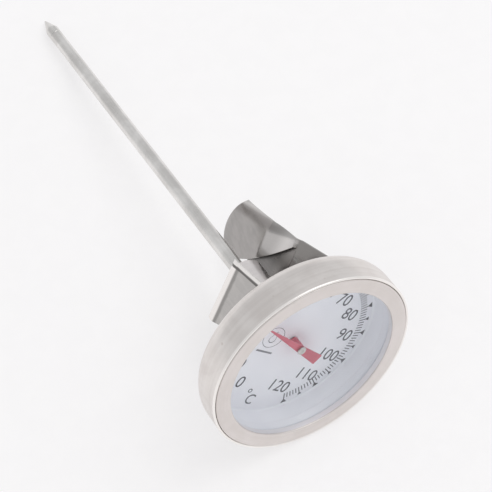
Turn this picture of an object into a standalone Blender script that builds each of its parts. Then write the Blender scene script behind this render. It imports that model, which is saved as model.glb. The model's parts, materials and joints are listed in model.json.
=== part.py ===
"""Dial thermometer with a stem and a sliding pan clip, lying on its side.

Every piece is drawn about the dial axis (x right, y up, z out of the face, origin at the
centre of the bezel's front plane, millimetres) and then laid down by one common pose.
"""
import math

import bmesh
import bpy
from mathutils import Matrix, Vector

for old in list(bpy.data.objects):
    bpy.data.objects.remove(old, do_unlink=True)

MM = 0.001
STEPS = 64                      # facets round a case-sized turned piece
FINE = 28                       # facets round a stem-sized turned piece

# ---------------------------------------------------------------- driving sizes, mm
CASE_R = 26.0                   # outside radius of the case
CASE_WALL = 0.6
OPENING_R = 21.5                # radius of the window
CASE_BACK_Z = -11.4             # outside of the case back
CASE_ROUND = 5.6                # rounding between side and back
DIAL_Z = -9.2                   # front of the dial plate
DIAL_R = 23.1
POINTER_Z = -5.6                # front of the pointer
POINTER_TIP = 14.4              # pointer length, axis to tip
POINTER_TAIL = 7.9              # axis to the square tail end
POINTER_TURN = 30.4             # pointer tip, degrees left of straight up
STEM_R = 1.8                    # stem 3.6 mm across
STEM_BORE = 1.45
STEM_END_Z = -139.3             # open end of the tube, where the plug is welded in
TIP_SHOULDER_Z = -142.0         # start of the cone on the plug
TIP_Z = -147.3                  # point of the plug
SPINDLE_R = 0.4
COIL_TOP_Z, COIL_END_Z = -104.0, -135.0
COIL_TURNS = 11
SHEET = 0.5                     # clip sheet thickness
SLEEVE_R = 5.0                  # guide sleeve outside radius
SLEEVE_TOP_Z, SLEEVE_END_Z = -15.0, -33.0
CLIP_ROLL = 30.2                # the clip hangs this far round from straight down, degrees

# Lying down, it rests on the rounded rear edge of the case and on the stem's shoulder.
ROLL_Z = CASE_BACK_Z + CASE_ROUND
rise, run = CASE_R - CASE_ROUND - STEM_R, ROLL_Z - TIP_SHOULDER_Z
LYING = math.atan2(rise, run) + math.asin(CASE_ROUND / math.hypot(rise, run))

# ---------------------------------------------------------------- shared helpers
scene = bpy.context.scene
parts = bpy.data.collections.new("dial_thermometer")
cutters = bpy.data.collections.new("cutters")
for coll in (parts, cutters):
    scene.collection.children.link(coll)
cutters.hide_render = True


def material(name, colour, metallic=0.0, rough=0.4, clear=0.0):
    mat = bpy.data.materials.new(name)
    mat.use_nodes = True
    shader = mat.node_tree.nodes["Principled BSDF"]
    shader.inputs["Base Color"].default_value = (*colour, 1.0)
    shader.inputs["Metallic"].default_value = metallic
    shader.inputs["Roughness"].default_value = rough
    shader.inputs["Transmission Weight"].default_value = clear
    return mat


STEEL = material("satin_steel", (0.62, 0.60, 0.58), 1.0, 0.35)
SPRING_STEEL = material("bright_spring_steel", (0.60, 0.59, 0.57), 1.0, 0.2)
GLASS = material("window_glass", (0.95, 0.97, 0.98), 0.0, 0.03, 1.0)
SILICONE = material("gasket_silicone", (0.7, 0.72, 0.74), 0.0, 0.6)
WHITE_PLASTIC = material("white_spacer_plastic", (0.8, 0.81, 0.83), 0.0, 0.5)
DIAL_PAINT = material("dial_white_paint", (0.75, 0.78, 0.82), 0.0, 0.5)
RED_PAINT = material("pointer_red_paint", (0.6, 0.04, 0.1), 0.0, 0.4)
BRASS = material("bearing_brass", (0.75, 0.55, 0.25), 1.0, 0.35)
BIMETAL = material("bimetal_strip", (0.55, 0.5, 0.42), 1.0, 0.4)


def finish(obj, mat):
    """Name-bearing piece: keep it in the parts collection with its own slot."""
    for coll in list(obj.users_collection):
        coll.objects.unlink(obj)
    parts.objects.link(obj)
    obj.data.materials.clear()
    obj.data.materials.append(mat)
    for poly in obj.data.polygons:
        poly.use_smooth = True
    obj.data.set_sharp_from_angle(angle=math.radians(28))
    return obj


def turned(name, section, mat, steps=STEPS):
    """Turn a closed section of (radius, z) points about the dial axis."""
    mesh = bpy.data.meshes.new(name)
    points = [(r * MM, 0.0, z * MM) for r, z in section]
    edges = [(i, (i + 1) % len(points)) for i in range(len(points))]
    if section[0][0] == 0.0 and section[-1][0] == 0.0:
        edges.pop()
    mesh.from_pydata(points, edges, [])
    obj = bpy.data.objects.new(name, mesh)
    parts.objects.link(obj)
    screw = obj.modifiers.new("turn", "SCREW")
    screw.steps = steps
    screw.render_steps = steps
    screw.use_merge_vertices = True
    screw.merge_threshold = 0.00001
    screw.use_normal_calculate = True
    bake(obj)
    return finish(obj, mat)


def bake(obj):
    """Replace an object's data by its evaluated mesh, with outward faces."""
    bpy.context.view_layer.update()
    depsgraph = bpy.context.evaluated_depsgraph_get()
    mesh = bpy.data.meshes.new_from_object(obj.evaluated_get(depsgraph))
    obj.modifiers.clear()
    obj.data = mesh
    tidy(mesh)


def tidy(mesh):
    work = bmesh.new()
    work.from_mesh(mesh)
    bmesh.ops.remove_doubles(work, verts=work.verts, dist=0.000002)
    bmesh.ops.recalc_face_normals(work, faces=work.faces)
    work.to_mesh(mesh)
    work.free()


def to_mesh_object(curve_obj, name):
    """Turn a curve object into a mesh object that takes its place and its name."""
    bpy.context.view_layer.update()
    depsgraph = bpy.context.evaluated_depsgraph_get()
    mesh = bpy.data.meshes.new_from_object(curve_obj.evaluated_get(depsgraph))
    tidy(mesh)
    obj = bpy.data.objects.new(name, mesh)
    obj.matrix_world = curve_obj.matrix_world.copy()
    bpy.data.objects.remove(curve_obj, do_unlink=True)
    scene.collection.objects.link(obj)
    obj.name = name
    return obj


def plate(name, outline, thick, place):
    """A flat sheet: outline in mm, thickness centred on its own plane."""
    curve = bpy.data.curves.new(name + "_outline", "CURVE")
    curve.dimensions = "2D"
    curve.fill_mode = "BOTH"
    curve.extrude = thick * MM / 2
    curve.render_resolution_u = 0
    spline = curve.splines.new("POLY")
    spline.points.add(len(outline) - 1)
    spline.use_cyclic_u = True
    for point, (x, y) in zip(spline.points, outline):
        point.co = (x * MM, y * MM, 0.0, 1.0)
    obj = bpy.data.objects.new(name, curve)
    scene.collection.objects.link(obj)
    obj = to_mesh_object(obj, name)
    obj.data.transform(place)
    return obj


def bent(name, profile, depth, place):
    """A bent sheet: a polyline in its own x-y plane, drawn out along z, given SHEET thickness."""
    curve = bpy.data.curves.new(name + "_profile", "CURVE")
    curve.dimensions = "3D"
    curve.extrude = depth * MM / 2
    spline = curve.splines.new("POLY")
    spline.points.add(len(profile) - 1)
    for point, (x, y) in zip(spline.points, profile):
        point.co = (x * MM, y * MM, 0.0, 1.0)
    obj = bpy.data.objects.new(name, curve)
    scene.collection.objects.link(obj)
    obj = to_mesh_object(obj, name)
    thicken(obj)
    obj.data.transform(place)
    return obj


def thicken(obj):
    solid = obj.modifiers.new("sheet", "SOLIDIFY")
    solid.thickness = SHEET * MM
    solid.offset = 0.0
    solid.use_even_offset = True
    bake(obj)


def rounded(points, radius, count=4):
    """Round the inner corners of an open polyline."""
    path = [Vector(points[0])]
    for before, corner, after in zip(points, points[1:], points[2:]):
        corner, before, after = Vector(corner), Vector(before), Vector(after)
        a, b = (before - corner).normalized(), (after - corner).normalized()
        half = a.angle(b) / 2
        reach = radius / math.tan(half)
        centre = corner + (a + b).normalized() * radius / math.sin(half)
        start, end = corner + a * reach - centre, corner + b * reach - centre
        for k in range(count + 1):
            mix = start.lerp(end, k / count)
            path.append(centre + mix.normalized() * radius)
    path.append(Vector(points[-1]))
    return [tuple(p) for p in path]


def carve(obj, cutter):
    """Take the cutter away from the piece."""
    for coll in list(cutter.users_collection):
        coll.objects.unlink(cutter)
    cutters.objects.link(cutter)
    cutter.display_type = "WIRE"
    cutter.hide_render = True
    cut = obj.modifiers.new("carve", "BOOLEAN")
    cut.solver = "EXACT"
    cut.operation = "DIFFERENCE"
    cut.object = cutter
    bake(obj)


def axes(x, y, z, at=(0.0, 0.0, 0.0)):
    """Placement whose local axes are the given directions, standing at a point in mm."""
    rot = Matrix((x, y, z)).transposed().to_4x4()
    return Matrix.Translation(Vector(at) * MM) @ rot


def arc(centre, radius, start, end, count):
    """Points of an arc, degrees, in the (radius, z) plane."""
    span = [math.radians(start + (end - start) * k / count) for k in range(count + 1)]
    return [(centre[0] + radius * math.cos(a), centre[1] + radius * math.sin(a)) for a in span]


# ---------------------------------------------------------------- the case
# A drawn cup with a rolled rim; the bezel ring is pressed inside the rim.
corner = (CASE_R - CASE_ROUND, ROLL_Z)
turned("case_cup",
       [(25.4, -0.5)] + arc((25.7, -0.45), 0.3, 180, 0, 4)
       + arc(corner, CASE_ROUND, 0, -90, 7)
       + [(3.2, CASE_BACK_Z), (3.2, CASE_BACK_Z + CASE_WALL)]
       + arc(corner, CASE_ROUND - CASE_WALL, -90, 0, 6), STEEL)

turned("bezel_ring",
       arc((21.85, -0.35), 0.35, 180, 90, 3) + [(24.75, 0.0), (25.05, -0.3), (25.05, -2.6),
        (24.65, -2.6), (24.65, -0.9), (24.45, -0.6), (22.3, -0.6), (22.0, -0.9), (22.0, -1.5),
        (OPENING_R, -1.5)], STEEL)

turned("window_lens",
       [(0.0, -1.85), (24.1, -1.85), (24.3, -2.05), (24.3, -3.15), (24.1, -3.35), (0.0, -3.35)],
       GLASS)

turned("window_gasket",
       [(22.3, -3.7), (24.5, -3.7), (24.5, -4.4), (22.3, -4.4)], SILICONE)

turned("dial_spacer_ring",
       [(22.5, -4.75), (24.8, -4.75), (24.8, -7.2), (23.7, -8.85), (22.5, -8.85)],
       WHITE_PLASTIC)

turned("dial_plate",
       [(0.8, DIAL_Z), (DIAL_R, DIAL_Z), (DIAL_R, DIAL_Z - 0.4), (0.8, DIAL_Z - 0.4)],
       DIAL_PAINT)

turned("dial_support_ring",
       [(15.5, -9.95), (20.5, -9.95), (20.5, -10.45), (15.5, -10.45)], WHITE_PLASTIC, 48)

# ---------------------------------------------------------------- the stem
turned("stem_collar",
       [(2.1, -9.95), (2.85, -9.95), (2.85, -11.75), (4.6, -11.75), (4.6, -12.5), (3.4, -12.9),
        (3.1, -14.2), (2.1, -14.2)], STEEL, FINE)

turned("stem_tube",
       [(STEM_BORE, -10.2), (STEM_R, -10.2), (STEM_R, STEM_END_Z), (STEM_BORE, STEM_END_Z)],
       STEEL, FINE)

turned("stem_tip",
       [(0.0, -138.2), (1.1, -138.2), (1.1, STEM_END_Z - 0.3), (STEM_R, STEM_END_Z - 0.3),
        (STEM_R, TIP_SHOULDER_Z), (0.75, -145.4), (0.22, -147.1), (0.0, TIP_Z)], STEEL, FINE)

turned("upper_bearing",
       [(0.7, -13.0), (1.15, -13.0), (1.15, -16.0), (0.7, -16.0)], BRASS, FINE)

turned("lower_bearing",
       [(0.7, -97.0), (1.15, -97.0), (1.15, -100.0), (0.7, -100.0)], BRASS, FINE)

turned("coil_anchor",
       [(0.0, -136.4), (1.1, -136.4), (1.1, -137.9), (0.0, -137.9)], BRASS, FINE)

# ---------------------------------------------------------------- what turns
turned("spindle",
       [(0.0, -6.5), (SPINDLE_R, -6.5), (SPINDLE_R, -103.4), (0.0, -103.4)], STEEL, FINE)

turned("coil_clamp",
       [(0.7, -101.0), (1.1, -101.0), (1.1, -103.0), (0.7, -103.0)], BRASS, FINE)

turned("pointer_bush",
       [(0.7, -6.2), (1.05, -6.2), (1.05, -8.9), (0.7, -8.9)], RED_PAINT, FINE)

turned("pointer_cap",
       [(0.0, -5.15), (0.32, -5.15), (0.42, -4.95), (0.95, -4.95), (1.1, -5.1), (1.1, -5.3),
        (0.0, -5.3)], STEEL, FINE)

tilt = math.radians(90 + POINTER_TURN)
along = Vector((math.cos(tilt), math.sin(tilt), 0.0))
across = Vector((-along.y, along.x, 0.0))
pointer = plate("pointer",
                [(POINTER_TIP, -0.12), (POINTER_TIP, 0.12), (0.0, 0.98),
                 (-POINTER_TAIL, 1.45), (-POINTER_TAIL, -1.45), (0.0, -0.98)],
                0.3, axes(along, across, (0, 0, 1), (0, 0, POINTER_Z - 0.15)))
finish(pointer, RED_PAINT)

# ---------------------------------------------------------------- the bimetal helix
helix = bpy.data.curves.new("helix", "CURVE")
helix.dimensions = "3D"
helix.bevel_depth = 0.13 * MM
helix.bevel_resolution = 1
helix.use_fill_caps = True
per_turn = 14
count = COIL_TURNS * per_turn
spline = helix.splines.new("POLY")
spline.points.add(count)
for k, point in enumerate(spline.points):
    a = 2 * math.pi * k / per_turn
    z = COIL_TOP_Z + (COIL_END_Z - COIL_TOP_Z) * k / count
    point.co = (0.9 * MM * math.cos(a), 0.9 * MM * math.sin(a), z * MM, 1.0)
coil = bpy.data.objects.new("bimetal_coil", helix)
scene.collection.objects.link(coil)
finish(to_mesh_object(coil, "bimetal_coil"), BIMETAL)

# ---------------------------------------------------------------- the clip
# The clip has its own directions: "down" hangs away from the stem, "back" is the side of the
# stem where the pan wall goes; z still runs along the stem.
roll = math.radians(CLIP_ROLL)
down = Vector((-math.sin(roll), -math.cos(roll), 0.0))
back = Vector((math.cos(roll), -math.sin(roll), 0.0))
axis = Vector((0.0, 0.0, 1.0))

turned("clip_guide_sleeve",
       [(2.1, SLEEVE_TOP_Z), (4.4, SLEEVE_TOP_Z), (SLEEVE_R, SLEEVE_TOP_Z - 0.6),
        (SLEEVE_R, SLEEVE_END_Z + 0.8), (4.75, SLEEVE_END_Z + 0.25), (4.2, SLEEVE_END_Z),
        (2.1, SLEEVE_END_Z), (2.1, SLEEVE_END_Z + 0.5), (4.1, SLEEVE_END_Z + 0.5),
        (4.5, SLEEVE_END_Z + 0.9), (4.5, SLEEVE_TOP_Z - 0.8), (4.2, SLEEVE_TOP_Z - 0.5),
        (2.1, SLEEVE_TOP_Z - 0.5)], STEEL, 36)

# Bracket: front flap, cross wall round the sleeve, short flange against the back plate.
WALL_Z = -32.4                  # middle of the cross wall
FRONT = -5.75                   # front flap, middle of its sheet
FLANGE = 7.1                    # flange, middle of its sheet
BRACKET_TOP, BRACKET_END = -8.2, 11.8
section = rounded([(-15.5, FRONT), (WALL_Z, FRONT), (WALL_Z, FLANGE), (-22.0, FLANGE)], 1.7)
middle = (BRACKET_TOP + BRACKET_END) / 2
depth = BRACKET_END - BRACKET_TOP
bracket = bent("clip_bracket", section, depth, axes(axis, back, -down, down * middle))
# above the stem nothing of the wall or flange is left: only the front flap reaches there
notch = plate("sleeve_notch", [(-20.0, -5.3), (0.0, -5.3), (0.0, 9.0), (-20.0, 9.0)], 30.0,
              axes(down, back, axis, axis * -28.0))
carve(bracket, notch)
bore = plate("sleeve_bore", arc((0, 0), 5.35, 0, 345, 23), 6.0,
             axes(down, back, axis, axis * WALL_Z))
carve(bracket, bore)
# slanted upper and lower edges of the front flap
slant = plate("flap_top", [(-34.0, -20.0), (-12.0, -20.0), (-12.0, -9.6), (-34.0, -5.35)], 4.0,
              axes(axis, down, back, back * FRONT))
carve(bracket, slant)
slant = plate("flap_end", [(-31.2, 12.2), (-31.2, 20.0), (-12.0, 20.0), (-12.0, 4.2)], 3.0,
              axes(axis, down, back, back * (FRONT - 0.6)))
carve(bracket, slant)
flange_gap = plate("flange_gap", [(-2.0, 0.0), (1.6, 0.0), (1.6, 12.0), (-2.0, 12.0)], 30.0,
                   axes(down, back, axis, axis * -14.5))
carve(bracket, flange_gap)
finish(bracket, SPRING_STEEL)

# Back plate with its outward thumb lip.
PLATE_MID = 8.0
lip = rounded([(PLATE_MID, -16.0), (PLATE_MID, 10.6), (16.5, 13.05)], 1.5)
back_plate = bent("clip_back_plate", lip, 26.6, axes(back, down, -axis, axis * -27.9))
slant = plate("plate_corner", [(-14.0, -15.6), (-14.0, -20.0), (-44.0, -20.0), (-44.0, -5.0),
                               (-29.1, -13.2), (-26.3, -14.4)], 4.0,
              axes(axis, down, back, back * PLATE_MID))
carve(back_plate, slant)
finish(back_plate, SPRING_STEEL)

# Leaf: foot on the back plate, narrow neck, fan with a dished upper edge and a round end.
FOOT = 7.1
FOOT_END_Z = -26.6
CREASE_Z = -36.5
lower = [(-15.2, -5.2), (FOOT_END_Z, -6.4), (-26.9, -12.6), (-28.0, -12.1), (-30.0, -9.45),
         (-33.0, -5.8), (CREASE_Z, -1.95), (-39.0, 0.4), (-42.0, 2.75), (-45.5, 5.4)]
upper = [(-15.2, -18.5), (FOOT_END_Z, -15.1), (-27.2, -14.8), (-28.4, -14.5), (-31.0, -14.15),
         (-34.0, -13.55), (-37.6, -12.6), (-41.6, -11.2), (-45.6, -9.85), (-49.2, -8.7)]
end_arc = [(-49.2, 6.9), (-52.4, 6.4), (-54.4, 5.1), (-55.6, 2.8), (-55.7, 0.2),
           (-55.0, -2.4), (-53.9, -4.7), (-52.9, -6.4), (-51.9, -7.85)]
COLUMNS = len(end_arc) - 1


def leaf_back(z, share):
    """How far behind the stem's axis the fan lies, at z and at a share of its width."""
    if z > CREASE_Z:
        bend = 6.95 + 0.165 * (z + 27.0)
    else:
        bend = 5.38 - 0.255 * (z - CREASE_Z)
    dish = max(0.0, (share - 0.7) / 0.3) ** 2 * min(1.0, (-28.0 - z) / 8.0)
    return bend + 1.1 * max(0.0, dish)


points = []
for number, (first, last) in enumerate(zip(lower, upper)):
    for k in range(COLUMNS + 1):
        share = k / COLUMNS
        z, d = Vector(first).lerp(Vector(last), share)
        depth = FOOT if number < 3 else leaf_back(z, share)
        points.append((axis * z + down * d + back * depth) * MM)
for k, (z, d) in enumerate(end_arc):
    points.append((axis * z + down * d + back * leaf_back(z, k / COLUMNS)) * MM)
width = COLUMNS + 1
quads = [(r * width + k, r * width + k + 1, (r + 1) * width + k + 1, (r + 1) * width + k)
         for r in range(len(lower)) for k in range(COLUMNS)]
leaf_mesh = bpy.data.meshes.new("clip_leaf")
leaf_mesh.from_pydata(points, [], quads)
leaf = bpy.data.objects.new("clip_leaf", leaf_mesh)
scene.collection.objects.link(leaf)
thicken(leaf)
for z, d in ((-18.0, -14.5), (-18.0, -9.0)):
    hole = plate("rivet_hole", arc((z, d), 0.9, 0, 340, 17), 6.0,
                 axes(axis, down, back, back * FOOT))
    for piece in (leaf, back_plate):
        carve(piece, hole)
for z, d in ((-25.5, 4.0), (-25.5, 9.0)):
    hole = plate("rivet_hole", arc((z, d), 0.9, 0, 340, 17), 6.0,
                 axes(axis, down, back, back * FOOT))
    for piece in (bracket, back_plate):
        carve(piece, hole)
finish(leaf, SPRING_STEEL)

# Four rivets, each with a head on either side of its two sheets.
rivet = [(0.0, 0.75), (0.9, 0.75), (1.3, 0.55), (1.3, 0.4), (0.6, 0.4), (0.6, -1.7),
         (1.3, -1.7), (1.3, -1.85), (0.9, -2.05), (0.0, -2.05)]
for number, (z, d) in enumerate(((-18.0, -14.5), (-18.0, -9.0), (-25.5, 4.0), (-25.5, 9.0)), 1):
    piece = turned("clip_rivet_%d" % number, rivet, STEEL, 16)
    place = axes(down, axis, -back, axis * z + down * d + back * (FOOT - 0.15))
    piece.data.transform(place)

# ---------------------------------------------------------------- lay it down
pose = Matrix.Rotation(math.radians(90) - LYING, 4, "X")
lying = [(pose @ v.co) for obj in parts.objects for v in obj.data.vertices]
mid_x = (min(p.x for p in lying) + max(p.x for p in lying)) / 2
mid_y = (min(p.y for p in lying) + max(p.y for p in lying)) / 2
low = min(p.z for p in lying)
pose = Matrix.Translation(Vector((-mid_x, -mid_y, -low))) @ pose
for obj in list(parts.objects) + list(cutters.objects):
    obj.matrix_world = pose
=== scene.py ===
"""Looks, light and camera for the lying dial thermometer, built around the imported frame."""
import json
import math

import bmesh
import bpy
from mathutils import Matrix, Vector


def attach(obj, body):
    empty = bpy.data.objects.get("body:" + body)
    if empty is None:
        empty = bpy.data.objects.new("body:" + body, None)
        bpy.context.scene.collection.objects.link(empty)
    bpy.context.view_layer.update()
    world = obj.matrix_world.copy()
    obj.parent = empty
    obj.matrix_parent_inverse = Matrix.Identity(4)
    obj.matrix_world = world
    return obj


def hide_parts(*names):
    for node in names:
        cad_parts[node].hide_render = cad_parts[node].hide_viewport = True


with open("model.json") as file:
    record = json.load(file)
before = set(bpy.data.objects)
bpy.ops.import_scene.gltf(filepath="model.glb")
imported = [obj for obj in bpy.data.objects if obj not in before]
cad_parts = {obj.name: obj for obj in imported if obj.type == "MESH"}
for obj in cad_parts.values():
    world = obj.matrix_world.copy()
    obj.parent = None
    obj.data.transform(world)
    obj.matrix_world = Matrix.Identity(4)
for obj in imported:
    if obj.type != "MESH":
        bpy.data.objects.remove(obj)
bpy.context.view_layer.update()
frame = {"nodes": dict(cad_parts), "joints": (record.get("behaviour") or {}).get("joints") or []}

MM = 0.001
ROUND = 256                     # facets round a case-sized visible piece
SLIM = 96                       # facets round a stem-sized visible piece

# ---------------------------------------------------------------- the dial frame
# x right, y up, z out of the face, origin at the centre of the bezel's front plane.
pointer_joint = next(j for j in frame["joints"] if j["name"] == "pointer_turn")
FACE = -Vector(pointer_joint["axis"]).normalized()
RIGHT = Vector((1.0, 0.0, 0.0))
UP = FACE.cross(RIGHT)
DIAL = (Matrix.Translation(Vector(pointer_joint["pos_m"]))
        @ Matrix((RIGHT, UP, FACE)).transposed().to_4x4())


# ---------------------------------------------------------------- material helpers
class Surface:
    """One Principled material, with short ways to add nodes to it."""

    def __init__(self, name, colour, rough, metallic=0.0, kept=False, **sockets):
        self.mat = bpy.data.materials.new(name)
        self.mat.use_nodes = True
        self.tree = self.mat.node_tree
        self.shader = self.tree.nodes["Principled BSDF"]
        self.shader.inputs["Base Color"].default_value = (*colour, 1.0)
        self.shader.inputs["Roughness"].default_value = rough
        self.shader.inputs["Metallic"].default_value = metallic
        for key, value in sockets.items():
            self.shader.inputs[key.replace("_", " ")].default_value = value
        if kept:
            self.place = self.node("ShaderNodeTexCoord").outputs["Object"]
        else:
            self.place = self.node("ShaderNodeAttribute", attribute_name="place"
                                   ).outputs["Vector"]

    def node(self, kind, inputs=None, **props):
        made = self.tree.nodes.new(kind)
        for key, value in props.items():
            setattr(made, key, value)
        for key, value in (inputs or {}).items():
            self.feed(made.inputs[key], value)
        return made

    def feed(self, socket, value):
        if isinstance(value, bpy.types.NodeSocket):
            self.tree.links.new(value, socket)
        else:
            socket.default_value = value

    def math(self, operation, a, b=0.0, clamp=False):
        return self.node("ShaderNodeMath", {0: a, 1: b}, operation=operation,
                         use_clamp=clamp).outputs[0]

    def stretch(self, vector, scale):
        return self.node("ShaderNodeVectorMath", {0: vector, 1: scale},
                         operation="MULTIPLY").outputs[0]

    def noise(self, vector, scale, detail=3.0, rough=0.5, warp=0.0):
        return self.node("ShaderNodeTexNoise", {"Vector": vector, "Scale": scale, "Detail": detail,
                                                "Roughness": rough, "Distortion": warp}
                         ).outputs["Fac"]

    def ramp(self, value, low, high, start=0.0, end=1.0):
        return self.node("ShaderNodeMapRange", {"Value": value, "From Min": low, "From Max": high,
                                                "To Min": start, "To Max": end},
                         interpolation_type="SMOOTHSTEP").outputs["Result"]

    def mix(self, share, a, b):
        made = self.node("ShaderNodeMix", data_type="RGBA")
        for key, value in ((0, share), (6, a), (7, b)):
            if isinstance(value, tuple):
                value = (*value, 1.0)
            self.feed(made.inputs[key], value)
        return made.outputs[2]

    def bump(self, height, distance, strength=1.0, under=None):
        inputs = {"Height": height, "Distance": distance, "Strength": strength}
        if under is not None:
            inputs["Normal"] = under
        return self.node("ShaderNodeBump", inputs).outputs["Normal"]

    def set(self, **links):
        for key, value in links.items():
            self.feed(self.shader.inputs[key.replace("_", " ")], value)

    def level(self, direction, offset=0.0):
        """Distance in mm along a direction of the piece's own frame, less an offset."""
        far = self.node("ShaderNodeVectorMath", {0: self.place, 1: direction},
                        operation="DOT_PRODUCT").outputs["Value"]
        return self.math("SUBTRACT", self.math("DIVIDE", far, MM), offset)

    def zone(self, level, start, end, soft):
        """1 between two levels, 0 outside, with soft edges, all in mm."""
        rise = self.ramp(level, start - soft, start + soft)
        fall = self.ramp(level, end - soft, end + soft, 1.0, 0.0)
        return self.math("MULTIPLY", rise, fall)

    def crevice(self, reach, colour, shade_colour, share=1.0):
        """Painted shade: the colour darkened towards a dark shade colour where other metal is
        within reach, in mm.
        """
        open_air = self.node("ShaderNodeAmbientOcclusion", {"Distance": reach * MM},
                             samples=12).outputs["AO"]
        shut = self.ramp(open_air, 0.1, 0.75, share, 0.0)
        return self.mix(shut, colour, shade_colour)

    def lathe_lines(self):
        """Coordinates that change across turned rings and hardly along them."""
        flat = self.stretch(self.place, (1.0, 1.0, 0.0))
        radius = self.node("ShaderNodeVectorMath", {0: flat}, operation="LENGTH").outputs["Value"]
        split = self.node("ShaderNodeSeparateXYZ", {0: self.place})
        turn = self.math("ARCTAN2", split.outputs[1], split.outputs[0])
        return self.node("ShaderNodeCombineXYZ", {0: radius, 1: split.outputs[2],
                                                  2: self.math("MULTIPLY", turn, 0.0006)}
                         ).outputs[0]


def steel(name, light, dark, rough, grain, spots=0.0, waves=0.0, grain_depth=0.000004,
          kept=False, tones=None, reach=0.0):
    """Worked stainless steel: directional grain, cloudy gloss, a few specks and soft waves.
    tones gives the zones of one piece with painted highlight and painted shade; reach the depth of
    its crevices, where the colour gets painted shade."""
    s = Surface(name, light, rough, 1.0, kept)
    if grain == "turned":
        lines = s.lathe_lines()
    elif grain == "drawn":
        lines = s.stretch(s.place, (1.0, 1.0, 0.02))
    else:
        lines = s.stretch(s.place, (1.0, 1.0, 0.06))
    fine = s.noise(lines, 5200.0, 4.0, 0.6)
    broad = s.noise(lines, 900.0, 3.0, 0.55)
    cloud = s.noise(s.place, 130.0, 4.0, 0.6, 0.4)
    mottle = s.noise(s.place, 620.0, 5.0, 0.65)
    tone = s.math("ADD", s.math("MULTIPLY", cloud, 0.6), s.math("MULTIPLY", broad, 0.4))
    colour = s.mix(s.ramp(tone, 0.36, 0.64), dark, light)
    if spots:
        cells = s.node("ShaderNodeTexVoronoi", {"Vector": s.place, "Scale": 330.0,
                                                "Randomness": 1.0})
        near = s.ramp(cells.outputs["Distance"], 0.05, 0.17, 1.0, 0.0)
        rare = s.ramp(s.noise(s.place, 210.0, 2.0), 0.6, 0.68)
        colour = s.mix(s.math("MULTIPLY", s.math("MULTIPLY", near, rare), spots), colour,
                       (0.36, 0.27, 0.2))
    for share, tint in (tones(s) if tones else ()):
        colour = s.mix(share, colour, tint)
    # painted shade: the colour darkens towards near black where other metal is close, by ambient
    # occlusion
    if reach:
        colour = s.crevice(reach, colour, (0.10, 0.09, 0.085))
    gloss = s.math("ADD", s.math("MULTIPLY", cloud, 0.12), s.math("MULTIPLY", mottle, 0.1))
    gloss = s.math("ADD", gloss, s.math("MULTIPLY", fine, 0.08))
    s.set(Base_Color=colour, Roughness=s.math("ADD", gloss, rough - 0.15))
    relief = s.bump(fine, grain_depth)
    if waves:
        relief = s.bump(s.noise(s.place, 60.0, 2.0), waves, 1.0, relief)
    s.set(Normal=relief)
    return s.mat


def moulded(name, light, dark, rough, depth=0.00002, kept=False, **sockets):
    """Moulded or painted stuff: faint mottling, fine pitting, slightly uneven gloss."""
    s = Surface(name, light, rough, 0.0, kept, **sockets)
    cloud = s.noise(s.place, 160.0, 4.0, 0.55, 0.3)
    pits = s.noise(s.place, 2600.0, 3.0, 0.6)
    s.set(Base_Color=s.mix(s.ramp(cloud, 0.35, 0.65), dark, light),
          Roughness=s.math("ADD", s.math("MULTIPLY", pits, 0.16), rough - 0.08),
          Normal=s.bump(pits, depth))
    return s.mat


CLIP_ROLL = math.radians(30.2)
down = Vector((-math.sin(CLIP_ROLL), -math.cos(CLIP_ROLL), 0.0))
back = Vector((math.cos(CLIP_ROLL), -math.sin(CLIP_ROLL), 0.0))
axis = Vector((0.0, 0.0, 1.0))


def rim_tones(s):
    """Painted highlight: the rolled rim is painted lighter all round."""
    yield s.zone(s.level(axis), -0.62, 1.0, 0.12), (0.93, 0.90, 0.87)


def lip_tones(s):
    """Painted highlight: the ring's inner lip, next to the glass, is painted bright."""
    yield s.zone(s.level(axis), -1.9, -0.42, 0.1), (0.93, 0.915, 0.915)


def flap_tones(s):
    """Painted light and shade on the front flap: a painted highlight on the bend with a painted
    dark band beside it, and along the top edge a painted highlight with a painted shadow line next
    to the sleeve.
    """
    along = s.level(axis)
    wander = s.math("MULTIPLY", s.noise(s.stretch(s.place, (1.0, 1.0, 0.05)), 700.0), 0.5)
    slant = s.math("ADD", wander, s.level(axis * -0.1897 - down * 0.9819, 11.95))
    yield s.zone(s.math("ADD", along, wander), -29.5, -28.3, 0.4), (0.30, 0.29, 0.28)
    yield s.zone(along, -40.0, -29.75, 0.35), (0.88, 0.85, 0.825)
    yield s.zone(slant, -1.5, -0.85, 0.12), (0.15, 0.145, 0.14)
    yield s.zone(slant, -0.7, 1.5, 0.12), (0.80, 0.78, 0.76)


def plate_tones(s):
    """A painted shadow line in the slit beside the leaf's foot, and the plate painted lighter next
    to it.
    """
    along = s.level(axis)
    yield s.zone(along, -31.0, -20.0, 2.5), (0.29, 0.275, 0.265)
    yield s.zone(along, -27.6, -26.8, 0.15), (0.06, 0.055, 0.05)


def fan_tones(s):
    """Painted light and shade on the fan: the neck side of the fold is painted brighter, a painted
    dark band and a painted highlight run along the top edge, and painted shade darkens the foot.
    """
    along = s.level(axis)
    edge = s.level(axis * -0.3853 - down * 0.949, 27.47)
    fade = s.ramp(along, -39.0, -30.0, 1.0, 0.4)
    yield s.zone(along, -36.6, -28.2, 0.6), (0.47, 0.455, 0.445)
    yield s.zone(along, -31.5, -28.2, 2.5), (0.68, 0.66, 0.645)
    yield s.math("MULTIPLY", s.zone(edge, -3.4, -1.5, 0.7), fade), (0.26, 0.245, 0.235)
    yield s.zone(edge, -0.95, 3.0, 0.45), (0.60, 0.585, 0.57)
    yield s.zone(along, -27.2, -10.0, 0.4), (0.24, 0.23, 0.22)


# reach gives painted crevice shade; tones give painted highlights and painted shade
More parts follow.
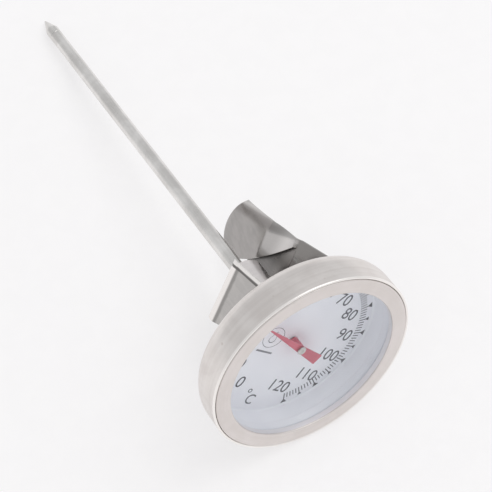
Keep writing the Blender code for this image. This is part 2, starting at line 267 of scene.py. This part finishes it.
CASE_STEEL = steel("case_steel", (0.79, 0.755, 0.73), (0.69, 0.65, 0.625), 0.34, "turned",
                   spots=0.45, waves=0.00008, tones=rim_tones)
BEZEL_STEEL = steel("bezel_steel", (0.765, 0.72, 0.70), (0.71, 0.665, 0.64), 0.46, "turned",
                    spots=0.7, waves=0.00006, tones=lip_tones, reach=0.12)
STEM_STEEL = steel("stem_steel", (0.83, 0.815, 0.795), (0.64, 0.625, 0.605), 0.30, "drawn",
                   waves=0.00003)
SLEEVE_STEEL = steel("sleeve_steel", (0.84, 0.80, 0.79), (0.77, 0.735, 0.725), 0.34, "turned",
                     reach=0.4)
# The flap, the plate and the fan are one bright spring steel in lit and shaded copies: the fan's
# darker base is painted shade, and the plate's near-black base is painted shade for the recess
# under the leaf.
FLAP_STEEL = steel("flap_steel", (0.50, 0.482, 0.467), (0.44, 0.427, 0.415), 0.24, "rolled",
                   waves=0.0001, tones=flap_tones, reach=0.8)
SHADED_PLATE_STEEL = steel("plate_steel_painted_shade", (0.22, 0.21, 0.205), (0.17, 0.165, 0.16), 0.30, "rolled",
                    waves=0.0001, tones=plate_tones, reach=0.25)
FAN_STEEL = steel("fan_steel", (0.39, 0.372, 0.36), (0.33, 0.317, 0.307), 0.2, "rolled",
                  waves=0.00012, tones=fan_tones, reach=0.3)
RIVET_STEEL = steel("rivet_steel", (0.62, 0.60, 0.58), (0.5, 0.48, 0.46), 0.3, "turned")
INNER_STEEL = steel("inner_steel", (0.55, 0.53, 0.50), (0.42, 0.40, 0.37), 0.35, "drawn",
                    kept=True)
BRASS = steel("bearing_brass_turned", (0.78, 0.58, 0.26), (0.62, 0.43, 0.18), 0.32, "drawn",
              kept=True)
BIMETAL = steel("bimetal_band", (0.56, 0.50, 0.42), (0.40, 0.37, 0.35), 0.38, "drawn",
                kept=True)
SILICONE = moulded("gasket_silicone_soft", (0.66, 0.68, 0.70), (0.58, 0.60, 0.63), 0.6)
SPACER = moulded("spacer_plastic", (0.92, 0.925, 0.96), (0.90, 0.905, 0.945), 0.45)
INNER_PLASTIC = moulded("inner_plastic", (0.80, 0.81, 0.83), (0.74, 0.75, 0.78), 0.5, kept=True)
DIAL_PAINT = moulded("dial_paint", (0.93, 0.925, 0.965), (0.905, 0.90, 0.945), 0.42, 0.000008)
INK = moulded("dial_ink", (0.035, 0.037, 0.05), (0.075, 0.078, 0.095), 0.5, 0.000006)
POINTER_RED = moulded("pointer_paint", (0.62, 0.105, 0.155), (0.53, 0.08, 0.125), 0.34, 0.00001)
PALE_INK = moulded("dial_ink_pale", (0.17, 0.17, 0.19), (0.25, 0.25, 0.27), 0.5, 0.000006)


def window_glass():
    """Thin clear glass: what it mirrors off its front, over a clear way through."""
    s = Surface("clear_window", (1.0, 1.0, 1.0), 0.02, 1.0)
    film = s.noise(s.place, 240.0, 4.0, 0.6, 0.5)
    s.set(Roughness=s.ramp(film, 0.4, 0.75, 0.012, 0.09),
          Normal=s.bump(s.noise(s.place, 45.0, 1.0), 0.00003))
    clear = s.node("ShaderNodeBsdfTransparent", {"Color": (0.985, 0.992, 0.995, 1.0)})
    mirror = s.node("ShaderNodeFresnel", {"IOR": 1.5}).outputs[0]
    front = s.math("SUBTRACT", 1.0, s.node("ShaderNodeNewGeometry").outputs["Backfacing"])
    both = s.node("ShaderNodeMixShader", {0: s.math("MULTIPLY", mirror, front),
                                          1: clear.outputs[0], 2: s.shader.outputs[0]})
    s.tree.links.new(both.outputs[0], s.tree.nodes["Material Output"].inputs["Surface"])
    return s.mat


GLASS = window_glass()


# ---------------------------------------------------------------- shape helpers
def arc(centre, radius, start, end, count):
    """Points of an arc, degrees, in the (radius, z) plane."""
    span = [math.radians(start + (end - start) * k / count) for k in range(count + 1)]
    return [(centre[0] + radius * math.cos(a), centre[1] + radius * math.sin(a)) for a in span]


def eased(points, radius, count=3):
    """A closed section with each corner that is off the axis rounded a little."""
    made = []
    for k, corner in enumerate(points):
        corner = Vector(corner)
        before, after = Vector(points[k - 1]), Vector(points[(k + 1) % len(points)])
        a, b = before - corner, after - corner
        turn = a.angle(b, math.pi) if a.length and b.length else math.pi
        if corner.x == 0.0 or turn > math.radians(150):
            made.append(tuple(corner))
            continue
        reach = min(radius / math.tan(turn / 2), a.length * 0.4, b.length * 0.4)
        start, end = corner + a.normalized() * reach, corner + b.normalized() * reach
        for step in range(count + 1):
            t = step / count
            made.append(tuple(start * (1 - t) ** 2 + corner * 2 * t * (1 - t) + end * t ** 2))
    return made


def shown(name, mesh, mat, body, *nodes, slot=None, place=DIAL):
    """A visible piece laid down from the dial frame: it rides on a body and stands for nodes."""
    mesh.materials.clear()
    mesh.materials.append(mat)
    own = mesh.attributes.new("place", "FLOAT_VECTOR", "POINT")
    for k, vertex in enumerate(mesh.vertices):
        own.data[k].vector = vertex.co
    mesh.transform(place)
    obj = bpy.data.objects.new(name, mesh)
    bpy.context.scene.collection.objects.link(obj)
    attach(obj, body)
    if nodes:
        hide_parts(*nodes)
    return obj


def smooth(mesh, angle=30.0):
    """Smooth shading, with edges sharper than the angle, in degrees, left sharp."""
    for poly in mesh.polygons:
        poly.use_smooth = True
    mesh.set_sharp_from_angle(angle=math.radians(angle))
    return mesh


def turned(name, section, steps=ROUND):
    """Mesh of a closed (radius, z) section turned about the dial axis, in metres."""
    work = bmesh.new()
    rings = []
    for r, z in section:
        if r == 0.0:
            rings.append([work.verts.new((0.0, 0.0, z * MM))] * steps)
        else:
            rings.append([work.verts.new((r * MM * math.cos(2 * math.pi * k / steps),
                                          r * MM * math.sin(2 * math.pi * k / steps), z * MM))
                          for k in range(steps)])
    for number, ring in enumerate(rings):
        other = rings[(number + 1) % len(rings)]
        if section[number][0] == 0.0 and section[(number + 1) % len(rings)][0] == 0.0:
            continue
        for k in range(steps):
            corners = [ring[k], ring[(k + 1) % steps], other[(k + 1) % steps], other[k]]
            work.faces.new(list(dict.fromkeys(corners)))
    bmesh.ops.recalc_face_normals(work, faces=work.faces)
    mesh = bpy.data.meshes.new(name)
    work.to_mesh(mesh)
    work.free()
    return smooth(mesh)


def evaluated(obj):
    """Mesh of an object with its modifiers applied."""
    bpy.context.view_layer.update()
    depsgraph = bpy.context.evaluated_depsgraph_get()
    return bpy.data.meshes.new_from_object(obj.evaluated_get(depsgraph))


def applied(obj):
    """Evaluated mesh of a helper object, in world coordinates; the helper is removed."""
    mesh = evaluated(obj)
    mesh.transform(obj.matrix_world)
    bpy.data.objects.remove(obj, do_unlink=True)
    return mesh


def helper(name, data):
    """A plain object in the scene that holds the data."""
    obj = bpy.data.objects.new(name, data)
    bpy.context.scene.collection.objects.link(obj)
    return obj


def cut_sheet(name, outline, thick, place):
    """Flat sheet of a closed outline, mm, as a helper object."""
    curve = bpy.data.curves.new(name, "CURVE")
    curve.dimensions = "2D"
    curve.fill_mode = "BOTH"
    curve.extrude = thick / 2
    spline = curve.splines.new("POLY")
    spline.points.add(len(outline) - 1)
    spline.use_cyclic_u = True
    for point, (x, y) in zip(spline.points, outline):
        point.co = (x, y, 0.0, 1.0)
    mesh = applied(helper(name, curve))
    mesh.transform(Matrix.Scale(MM, 4))
    mesh.transform(place)
    return helper(name, weld(mesh))


def weld(mesh, reach=0.000001):
    """Join points that lie within reach of each other, and turn the faces outward."""
    work = bmesh.new()
    work.from_mesh(mesh)
    bmesh.ops.remove_doubles(work, verts=work.verts, dist=reach)
    bmesh.ops.recalc_face_normals(work, faces=work.faces)
    work.to_mesh(mesh)
    work.free()
    return mesh


def thickened(obj, thick):
    """Mesh of a helper object given a thickness in mm, half to each side."""
    sheet = obj.modifiers.new("sheet", "SOLIDIFY")
    sheet.thickness = thick * MM
    sheet.offset = 0.0
    sheet.use_even_offset = True
    return applied(obj)


def bent_sheet(name, profile, depth, thick, place):
    """Sheet with the given bends: a polyline in its own plane, drawn out along z, in mm."""
    verts = [(x * MM, y * MM, side * depth * MM) for side in (-0.5, 0.5) for x, y in profile]
    n = len(profile)
    faces = [(k, k + 1, n + k + 1, n + k) for k in range(n - 1)]
    mesh = bpy.data.meshes.new(name)
    mesh.from_pydata(verts, [], faces)
    mesh = weld(thickened(helper(name, mesh), thick))
    mesh.transform(place)
    return helper(name, mesh)


def rounded(points, radius, count=12):
    """Round the inner corners of an open polyline."""
    path = [Vector(points[0])]
    for before, corner, after in zip(points, points[1:], points[2:]):
        corner, before, after = Vector(corner), Vector(before), Vector(after)
        a, b = (before - corner).normalized(), (after - corner).normalized()
        half = a.angle(b) / 2
        reach = radius / math.tan(half)
        centre = corner + (a + b).normalized() * radius / math.sin(half)
        start, end = corner + a * reach - centre, corner + b * reach - centre
        for k in range(count + 1):
            spin = start.normalized().slerp(end.normalized(), k / count) * radius
            path.append(centre + spin)
    path.append(Vector(points[-1]))
    return [tuple(p) for p in path]


def carve(obj, cutter):
    """Cut a helper object out of another; the cutter is removed."""
    cut = obj.modifiers.new("carve", "BOOLEAN")
    cut.solver = "EXACT"
    cut.operation = "DIFFERENCE"
    cut.object = cutter
    mesh = evaluated(obj)
    obj.modifiers.clear()
    obj.data = mesh
    bpy.data.objects.remove(cutter, do_unlink=True)


def edged(obj, width, segments=2):
    """Mesh of the helper with its cut edges broken by a small bevel and even shading."""
    edge = obj.modifiers.new("edge", "BEVEL")
    edge.width = width * MM
    edge.segments = segments
    edge.limit_method = "ANGLE"
    edge.angle_limit = math.radians(40)
    even = obj.modifiers.new("even", "WEIGHTED_NORMAL")
    even.keep_sharp = True
    for poly in obj.data.polygons:
        poly.use_smooth = True
    return applied(obj)


def axes(x, y, z, at=(0.0, 0.0, 0.0)):
    """Placement whose local axes are the given directions, standing at a point in mm."""
    rot = Matrix((x, y, z)).transposed().to_4x4()
    return Matrix.Translation(Vector(at) * MM) @ rot


# ---------------------------------------------------------------- case and window
CASE_R, CASE_ROUND, CASE_BACK_Z, CASE_WALL = 26.0, 5.6, -11.4, 0.6
corner = (CASE_R - CASE_ROUND, CASE_BACK_Z + CASE_ROUND)
shown("case_shell", turned("case_shell",
      [(25.36, -0.75), (25.36, -0.55)] + arc((25.68, -0.47), 0.32, 180, 0, 14)
      + arc(corner, CASE_ROUND, 0, -90, 28)
      + [(3.25, CASE_BACK_Z), (3.2, CASE_BACK_Z + 0.05), (3.2, CASE_BACK_Z + CASE_WALL)]
      + arc(corner, CASE_ROUND - CASE_WALL, -90, 0, 20)),
      CASE_STEEL, "head", "case_cup", slot="satin_steel")

shown("front_ring", turned("front_ring",
      arc((21.85, -0.35), 0.35, 180, 90, 8)
      + [(24.2, 0.0), (24.6, -0.01)] + arc((24.95, -0.38), 0.35, 90, 0, 10)
      + [(25.3, -0.9), (25.05, -1.0), (25.05, -2.6), (24.65, -2.6), (24.65, -0.9),
         (24.45, -0.6), (22.3, -0.6), (22.0, -0.9), (22.0, -1.82), (21.6, -1.82),
         (21.5, -1.72)]),
      BEZEL_STEEL, "head", "bezel_ring", slot="satin_steel")

shown("window_pane", turned("window_pane",
      eased([(0.0, -1.85), (22.36, -1.85), (22.36, -3.35), (0.0, -3.35)], 0.04)),
      GLASS, "head", "window_lens", slot="window_glass")

shown("window_seal", turned("window_seal",
      eased([(22.8, -3.4), (24.5, -3.4), (24.5, -4.6), (22.8, -4.6)], 0.2)),
      SILICONE, "head", "window_gasket", slot="gasket_silicone")

shown("inner_wall", turned("inner_wall",
      [(22.4, -1.86), (22.7, -1.86), (22.7, -4.7), (24.75, -4.75), (24.8, -4.8), (24.8, -7.2),
       (23.7, -8.85), (23.15, -8.9), (23.1, -9.18)]
      + arc((21.8, -8.58), 0.6, -90, 0, 12)),
      SPACER, "head", "dial_spacer_ring", slot="white_spacer_plastic")

DIAL_Z, DIAL_R = -9.2, 23.1
shown("dial_face", turned("dial_face",
      eased([(0.8, DIAL_Z), (DIAL_R, DIAL_Z), (DIAL_R, DIAL_Z - 0.4), (0.8, DIAL_Z - 0.4)],
            0.08)),
      DIAL_PAINT, "head", "dial_plate", slot="dial_white_paint")

# ---------------------------------------------------------------- print on the dial
INK_Z = DIAL_Z + 0.01           # middle of the ink film
INK_THICK = 0.016
READ_UP = math.radians(-47.5)   # the numbers stand upright along this direction


def dial_angle(value):
    """Degrees clockwise from the dial's own top for a temperature."""
    if value >= 70:
        return 143.5 + (value - 100) * 2.41
    return 71.2 + (value - 70) * 2.6


def polar(radius, degrees):
    a = math.radians(degrees)
    return radius * math.sin(a), radius * math.cos(a)


class Print:
    """Thin flat prints gathered in one mesh, in mm on the dial plane."""

    def __init__(self):
        self.work = bmesh.new()

    def add_mesh(self, mesh, place):
        mesh.transform(place)
        self.work.from_mesh(mesh)

    def outline(self, points):
        """A closed polygon as a thin slab."""
        low, high = INK_Z - INK_THICK / 2, INK_Z + INK_THICK / 2
        top = [self.work.verts.new((x, y, high)) for x, y in points]
        bottom = [self.work.verts.new((x, y, low)) for x, y in points]
        self.work.faces.new(top)
        self.work.faces.new(bottom[::-1])
        for k in range(len(points)):
            m = (k + 1) % len(points)
            self.work.faces.new((top[k], bottom[k], bottom[m], top[m]))

    def band(self, outer, inner):
        """The strip between two closed outlines that have as many points."""
        low, high = INK_Z - INK_THICK / 2, INK_Z + INK_THICK / 2
        loops = [[self.work.verts.new((x, y, z)) for x, y in line]
                 for line, z in ((inner, high), (outer, high), (outer, low), (inner, low))]
        for a, b in zip(loops, loops[1:] + loops[:1]):
            for k in range(len(outer)):
                m = (k + 1) % len(outer)
                self.work.faces.new((a[k], b[k], b[m], a[m]))

    def ring(self, centre, outer, inner, steps=64):
        around = [2 * math.pi * k / steps for k in range(steps)]
        self.band(*([(centre[0] + r * math.cos(a), centre[1] + r * math.sin(a)) for a in around]
                    for r in (outer, inner)))

    def text(self, words, size, centre, turn, widen=1.0):
        """Plain numerals centred on a point, as a thin slab."""
        curve = bpy.data.curves.new("label", "FONT")
        curve.body = words
        curve.size = size
        curve.align_x, curve.align_y = "CENTER", "CENTER"
        curve.extrude = INK_THICK / 2
        curve.resolution_u = 5
        mesh = weld(applied(helper("label", curve)), 0.0005)
        across = [v.co.x for v in mesh.vertices]
        along = [v.co.y for v in mesh.vertices]
        mid = Vector(((max(across) + min(across)) / 2, (max(along) + min(along)) / 2, 0.0))
        place = (Matrix.Translation((centre[0], centre[1], INK_Z))
                 @ Matrix.Rotation(turn, 4, "Z") @ Matrix.Diagonal((widen, 1.0, 1.0, 1.0))
                 @ Matrix.Translation(-mid))
        self.add_mesh(mesh, place)

    def done(self, name):
        bmesh.ops.recalc_face_normals(self.work, faces=self.work.faces)
        mesh = bpy.data.meshes.new(name)
        self.work.to_mesh(mesh)
        self.work.free()
        mesh.transform(Matrix.Scale(MM, 4))
        return mesh


numerals = Print()
NUDGE = {10: (-1.3, 0.5), 60: (-0.6, 1.2), 70: (-0.4, 0.6), 90: (0.25, 0.5),
         100: (-0.2, 0.0), 110: (0.2, 2.0), 120: (-0.3, 6.3)}
for value in range(0, 130, 10):
    farther, round_by = NUDGE.get(value, (0.0, 0.0))
    numerals.text(str(value), 4.8, polar(15.6 + farther, dial_angle(value) + round_by),
                  READ_UP, 0.99)
numerals.text("C", 4.3, (-12.9, -13.6), READ_UP, 0.95)
numerals.ring((-12.5, -10.6), 0.62, 0.36, 32)
shown("dial_numerals", numerals.done("dial_numerals"), INK, "head", slot="dial_white_paint")

ticks = Print()
for value in range(0, 121):
    a = dial_angle(value)
    out = 20.4 if value % 5 else 21.2
    half = 0.115 if value % 5 else 0.13
    side = Vector(polar(1.0, a + 90)) * half
    start, end = Vector(polar(18.7, a)), Vector(polar(out, a))
    ticks.outline([tuple(start - side), tuple(start + side), tuple(end + side),
                   tuple(end - side)])
    if value % 5 == 0:
        tall, wide = (1.3, 0.95) if value % 10 == 0 else (1.0, 0.6)
        apex = 20.6 if value % 10 == 0 else 20.5
        side = Vector(polar(1.0, a + 90)) * wide
        base = Vector(polar(apex + tall, a))
        ticks.outline([polar(apex, a), tuple(base + side), tuple(base - side)])
shown("dial_ticks", ticks.done("dial_ticks"), INK, "head", slot="dial_white_paint")

sign = Print()
SIGN = (-4.8, 4.1)
sign.ring(SIGN, 3.0, 2.86, 96)
spin = Matrix.Rotation(READ_UP, 2)


def drop_shape(scale):
    """A water drop: a point on top of a round belly."""
    turns = [math.radians(d) for d in range(125, -126, -10)]
    points = [(0.0, 1.9)] + [(1.05 * math.sin(t), -0.55 - 1.05 * math.cos(t)) for t in turns]
    return [tuple(Vector(SIGN) + spin @ (Vector(p) * scale)) for p in points]


sign.band(drop_shape(1.0), drop_shape(0.86))
bar = [(-2.7, -0.25), (2.7, -0.25), (2.7, 0.25), (-2.7, 0.25)]
sign.outline([tuple(Vector((-7.7, 0.95)) + spin @ Vector(p)) for p in bar])
shown("dial_drop_sign", sign.done("dial_drop_sign"), PALE_INK, "head",
      slot="dial_white_paint")

# ---------------------------------------------------------------- pointer
POINTER_TIP, POINTER_TAIL, POINTER_TURN, POINTER_Z = 14.4, 7.9, 30.4, -5.6
tilt = math.radians(90 + POINTER_TURN)
along = Vector((math.cos(tilt), math.sin(tilt), 0.0))
across = Vector((-along.y, along.x, 0.0))
needle = cut_sheet("needle", [(POINTER_TIP, -0.12), (POINTER_TIP, 0.12), (0.0, 0.98),
                              (-POINTER_TAIL, 1.45), (-POINTER_TAIL, -1.45), (0.0, -0.98)],
                   0.3, axes(along, across, (0, 0, 1), (0, 0, POINTER_Z - 0.15)))
shown("needle", edged(needle, 0.05), POINTER_RED, "pointer", "pointer",
      slot="pointer_red_paint")

shown("needle_cap", turned("needle_cap",
      eased([(0.0, -5.15), (0.32, -5.15), (0.42, -4.95), (0.95, -4.95), (1.1, -5.1),
             (1.1, -5.3), (0.0, -5.3)], 0.05), SLIM),
      RIVET_STEEL, "pointer", "pointer_cap", slot="satin_steel")

shown("needle_bush", turned("needle_bush",
      eased([(0.7, -5.95), (1.05, -5.95), (1.05, -8.9), (0.7, -8.9)], 0.06), SLIM),
      POINTER_RED, "pointer", "pointer_bush", slot="pointer_red_paint")

# ---------------------------------------------------------------- stem
shown("stem_socket", turned("stem_socket",
      eased([(2.1, -9.95), (2.85, -9.95), (2.85, -11.75), (4.6, -11.75), (4.6, -12.5),
             (3.4, -12.9), (3.1, -14.2), (2.1, -14.2)], 0.15), SLIM),
      CASE_STEEL, "head", "stem_collar", slot="satin_steel")

STEM_R, STEM_END_Z = 1.8, -139.3
runs = [STEM_END_Z + 0.12 - (STEM_END_Z + 10.2) * k / 60 for k in range(61)]
shown("stem_pipe", turned("stem_pipe",
      [(1.45, -10.2), (STEM_R, -10.2)] + [(STEM_R, z) for z in runs[:0:-1]]
      + [(STEM_R, STEM_END_Z + 0.06), (STEM_R - 0.05, STEM_END_Z), (1.45, STEM_END_Z)], SLIM),
      STEM_STEEL, "head", "stem_tube", slot="satin_steel")

shown("stem_point", turned("stem_point",
      [(0.0, -138.2), (1.1, -138.2), (1.1, STEM_END_Z - 0.05), (STEM_R - 0.06, STEM_END_Z - 0.05),
       (STEM_R, STEM_END_Z - 0.12), (STEM_R, -141.0), (STEM_R, -141.75), (1.775, -142.05),
       (1.68, -142.4), (1.2, -144.0), (0.75, -145.4), (0.35, -146.7), (0.2, -147.1),
       (0.1, -147.24), (0.0, -147.3)], SLIM),
      STEM_STEEL, "head", "stem_tip", slot="satin_steel")

# ---------------------------------------------------------------- pan clip
SHEET = 0.5

shown("clip_sleeve", turned("clip_sleeve",
      [(2.1, -15.0), (4.3, -15.0), (4.6, -15.1), (4.85, -15.3), (5.0, -15.7), (5.0, -24.0),
       (5.0, -32.1), (4.93, -32.5), (4.7, -32.8), (4.4, -32.95), (4.1, -33.0), (2.2, -33.0),
       (2.1, -32.9), (2.1, -32.5), (4.1, -32.5), (4.5, -32.1), (4.5, -15.8), (4.2, -15.5),
       (2.1, -15.5)], 160),
      SLEEVE_STEEL, "guide_sleeve", "clip_guide_sleeve", slot="satin_steel")

WALL_Z, FRONT, FLANGE = -32.4, -5.75, 7.1
TOP, END = -8.2, 11.8
bracket = bent_sheet("bracket", rounded([(-15.5, FRONT), (WALL_Z, FRONT), (WALL_Z, FLANGE),
                                         (-22.0, FLANGE)], 1.7),
                     END - TOP, SHEET, axes(axis, back, -down, down * (TOP + END) / 2))
carve(bracket, cut_sheet("notch", [(-20.0, -5.3), (0.0, -5.3), (0.0, 9.0), (-20.0, 9.0)], 30.0,
                         axes(down, back, axis, axis * -28.0)))
carve(bracket, cut_sheet("bore", arc((0, 0), 5.35, 0, 357, 119), 6.0,
                         axes(down, back, axis, axis * WALL_Z)))
carve(bracket, cut_sheet("flap_top", [(-34.0, -20.0), (-12.0, -20.0), (-12.0, -9.6),
                                      (-34.0, -5.35)], 4.0,
                         axes(axis, down, back, back * FRONT)))
carve(bracket, cut_sheet("flap_end", [(-31.2, 12.2), (-31.2, 20.0), (-12.0, 20.0), (-12.0, 4.2)],
                         3.0, axes(axis, down, back, back * (FRONT - 0.6))))
carve(bracket, cut_sheet("flange_gap", [(-2.0, 0.0), (1.6, 0.0), (1.6, 12.0), (-2.0, 12.0)],
                         30.0, axes(down, back, axis, axis * -14.5)))

PLATE_MID = 8.0
lip = rounded([(PLATE_MID, -16.0), (PLATE_MID, 10.6), (16.5, 13.05)], 1.5)
plate = bent_sheet("plate", lip, 26.6, SHEET, axes(back, down, -axis, axis * -27.9))
carve(plate, cut_sheet("plate_corner", [(-14.0, -15.6), (-14.0, -20.0), (-44.0, -20.0),
                                        (-44.0, -5.0), (-29.1, -13.2), (-26.3, -14.4)], 4.0,
                       axes(axis, down, back, back * PLATE_MID)))

# Leaf: foot, narrow neck, fan with a dished upper edge and a round end.
FOOT, FOOT_END_Z, CREASE_Z = 7.1, -26.6, -36.5
lower = [(-15.2, -5.2), (FOOT_END_Z, -6.4), (-26.9, -12.6), (-28.0, -12.1), (-30.0, -9.45),
         (-33.0, -5.8), (CREASE_Z, -1.95), (-39.0, 0.4), (-42.0, 2.75), (-45.5, 5.4)]
upper = [(-15.2, -18.5), (FOOT_END_Z, -15.1), (-27.2, -14.8), (-28.4, -14.5), (-31.0, -14.15),
         (-34.0, -13.55), (-37.6, -12.6), (-41.6, -11.2), (-45.6, -9.85), (-49.2, -8.7)]
end_arc = [(-49.2, 6.9), (-52.4, 6.4), (-54.4, 5.1), (-55.6, 2.8), (-55.7, 0.2),
           (-55.0, -2.4), (-53.9, -4.7), (-52.9, -6.4), (-51.9, -7.85)]
FAN_ROW = 3                     # the fan starts at this pair of edge points
FINER_ROWS, COLUMNS = 8, 32


def through(points, at):
    """Smooth curve through the points; at counts along them."""
    k = min(int(at), len(points) - 2)
    t = at - k
    p = [Vector(points[min(max(k + n, 0), len(points) - 1)]) for n in (-1, 0, 1, 2)]
    return 0.5 * (2 * p[1] + (p[2] - p[0]) * t + (2 * p[0] - 5 * p[1] + 4 * p[2] - p[3]) * t ** 2
                  + (3 * p[1] - p[0] - 3 * p[2] + p[3]) * t ** 3)


def leaf_back(z, share):
    """How far behind the stem's axis the fan lies, at z and at a share of its width."""
    near, far = 6.95 + 0.165 * (z + 27.0), 5.38 - 0.255 * (z - CREASE_Z)
    bend = 0.5 * (near + far + math.hypot(near - far, 0.1))
    dish = max(0.0, (share - 0.7) / 0.3) ** 2 * min(1.0, (-28.0 - z) / 8.0)
    return bend + 1.1 * max(0.0, dish)


def edge_points(share):
    """Where the column at this share of the width crosses each pair of edge points."""
    column = [tuple(Vector(a).lerp(Vector(b), share)) for a, b in zip(lower, upper)]
    return column + [tuple(through(end_arc, share * (len(end_arc) - 1)))]


grid = []
for k in range(COLUMNS + 1):
    share = k / COLUMNS
    column = edge_points(share)
    foot = [(*p, FOOT) for p in column[:FAN_ROW]]
    fan = column[FAN_ROW:]
    steps = (len(fan) - 1) * FINER_ROWS
    fan = [through(fan, n / FINER_ROWS) for n in range(steps + 1)]
    grid.append(foot + [(z, d, leaf_back(z, share)) for z, d in fan])
width = COLUMNS + 1
points = [(axis * z + down * d + back * b) * MM
          for row in range(len(grid[0])) for z, d, b in (column[row] for column in grid)]
quads = [(r * width + k, r * width + k + 1, (r + 1) * width + k + 1, (r + 1) * width + k)
         for r in range(len(grid[0]) - 1) for k in range(COLUMNS)]
leaf_mesh = bpy.data.meshes.new("leaf")
leaf_mesh.from_pydata(points, [], quads)
leaf = helper("leaf_sheet", thickened(helper("leaf", leaf_mesh), SHEET))

# Rivet places (z, d): the first two hold the leaf's foot, the others the bracket's flange.
FOOT_RIVETS = ((-18.0, -14.5), (-18.0, -9.0))
FLANGE_RIVETS = ((-25.5, 4.0), (-25.5, 9.0))
HOLE_R = 0.9
for places, held in ((FOOT_RIVETS, leaf), (FLANGE_RIVETS, bracket)):
    for spot in places:
        for piece in (held, plate):
            carve(piece, cut_sheet("hole", arc(spot, HOLE_R, 0, 350, 35), 6.0,
                                   axes(axis, down, back, back * FOOT)))

shown("clip_front", edged(bracket, 0.08), FLAP_STEEL, "pan_clip", "clip_bracket",
      slot="bright_spring_steel")
shown("clip_plate", edged(plate, 0.08), SHADED_PLATE_STEEL, "pan_clip", "clip_back_plate",
      slot="bright_spring_steel")
shown("clip_fan", edged(leaf, 0.08), FAN_STEEL, "pan_clip", "clip_leaf",
      slot="bright_spring_steel")

rivet = eased([(0.0, 0.75), (0.9, 0.75), (1.3, 0.55), (1.3, 0.4), (0.6, 0.4), (0.6, -1.7),
               (1.3, -1.7), (1.3, -1.85), (0.9, -2.05), (0.0, -2.05)], 0.12)
for number, (z, d) in enumerate(FOOT_RIVETS + FLANGE_RIVETS, 1):
    mesh = turned("rivet_%d" % number, rivet, 48)
    place = axes(down, axis, -back, axis * z + down * d + back * (FOOT - 0.15))
    shown("rivet_%d" % number, mesh, RIVET_STEEL, "pan_clip", "clip_rivet_%d" % number,
          slot="satin_steel", place=DIAL @ place)

# ---------------------------------------------------------------- pieces kept from the CAD
for name, mat in (("dial_support_ring", INNER_PLASTIC), ("upper_bearing", BRASS),
                  ("lower_bearing", BRASS), ("coil_anchor", BRASS), ("coil_clamp", BRASS),
                  ("spindle", INNER_STEEL), ("bimetal_coil", BIMETAL)):
    data = frame["nodes"][name].data
    data.materials.clear()
    data.materials.append(mat)

# ---------------------------------------------------------------- floor, light, camera
floor_mesh = bpy.data.meshes.new("floor")
REACH = 6.0
floor_mesh.from_pydata([(-REACH, -REACH, 0), (REACH, -REACH, 0), (REACH, REACH, 0),
                        (-REACH, REACH, 0)], [], [(0, 1, 2, 3)])
floor = helper("floor", floor_mesh)
paper = moulded("studio_paper", (0.36, 0.36, 0.362), (0.35, 0.35, 0.352), 0.8, 0.00001,
                kept=True, Emission_Color=(1.0, 0.985, 0.99, 1.0), Emission_Strength=0.61)
floor_mesh.materials.append(paper)

world = bpy.data.worlds.new("studio")
bpy.context.scene.world = world
world.use_nodes = True
sky = world.node_tree.nodes["Background"]
sky.inputs["Color"].default_value = (0.98, 0.985, 1.0, 1.0)
sky.inputs["Strength"].default_value = 0.72

SUBJECT = Vector((0.0035, -0.0335, 0.025))     # what the light is aimed at
EYE = (-0.0979, -0.2082, 0.3395)
SIGHT = Vector((0.2714, 0.4673, -0.8414))
LENS, SENSOR = 113.75, 36.0


def softbox(name, place, size, power, tint):
    """A square area light aimed at the subject."""
    light = bpy.data.lights.new(name, "AREA")
    light.shape = "SQUARE"
    light.size = size
    light.energy = power
    light.color = tint
    lamp = helper(name, light)
    lamp.location = place
    lamp.rotation_mode = "QUATERNION"
    lamp.rotation_quaternion = (SUBJECT - lamp.location).to_track_quat("-Z", "Y")


softbox("key", Vector((0.6, -0.1, 1.1)), 0.9, 4.0, (1.0, 0.985, 0.965))

camera = bpy.data.cameras.new("camera")
camera.lens, camera.sensor_width = LENS, SENSOR
eye = helper("camera", camera)
eye.location = EYE
eye.rotation_mode = "QUATERNION"
eye.rotation_quaternion = SIGHT.to_track_quat("-Z", "Y")
bpy.context.scene.camera = eye
bpy.context.scene.view_settings.view_transform = "Standard"
